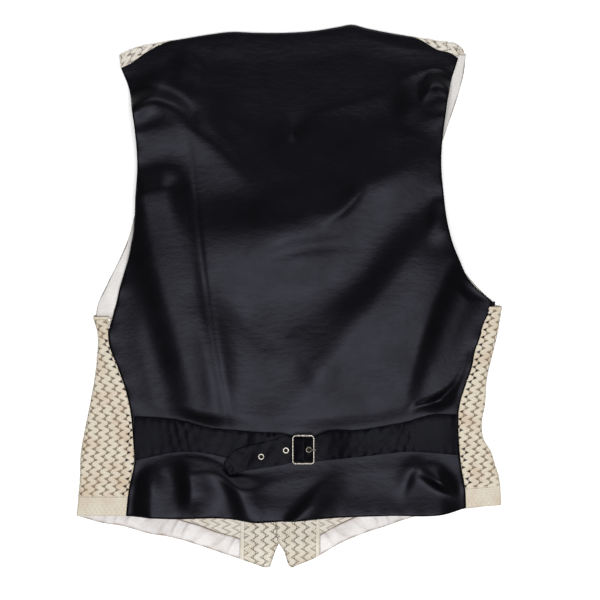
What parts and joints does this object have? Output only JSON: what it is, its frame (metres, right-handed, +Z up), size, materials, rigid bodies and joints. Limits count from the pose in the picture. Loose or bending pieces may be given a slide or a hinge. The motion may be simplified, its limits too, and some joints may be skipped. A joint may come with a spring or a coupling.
{
  "type": "waistcoat gilet",
  "caption": "Gilet laid face down: satin back with buckled half belt, lace fronts wrapping round the sides, lace and satin facings inside.",
  "frame": {"origin": "centre of the bounding box at the surface that the garment lies on", "axes": "+Y towards the neck, +X towards the wearer's right as the back faces up, +Z up from the surface"},
  "size_m": [0.4684, 0.5981, 0.0241],
  "materials": {
    "satin_black": "satin weave, soft sheen",
    "lace_cream": "zigzag braid lace, matt",
    "lace_facing": "close zigzag braid, matt",
    "satin_white": "satin weave, soft sheen",
    "satin_belt": "satin weave, soft sheen",
    "buckle_metal": "aged silver plate",
    "eyelet_metal": "aged silver plate",
    "button_plain": "plain resin"
  },
  "bodies": {
    "root": {"back": "satin_black", "front_left": "lace_cream", "front_right": "lace_cream", "front_facing_left": "lace_facing", "front_facing_right": "lace_facing", "hem_facing_left": "satin_white", "hem_facing_right": "satin_white", "armhole_facing_left": "satin_white", "armhole_facing_right": "satin_white", "belt_left": "satin_belt", "belt_right": "satin_belt", "buckle_frame": "buckle_metal", "buckle_prong": "buckle_metal", "eyelet_1": "eyelet_metal", "eyelet_2": "eyelet_metal", "eyelet_3": "eyelet_metal", "button_1": "button_plain", "button_2": "button_plain", "button_3": "button_plain", "button_4": "button_plain", "button_5": "button_plain"}
  },
  "joints": []
}
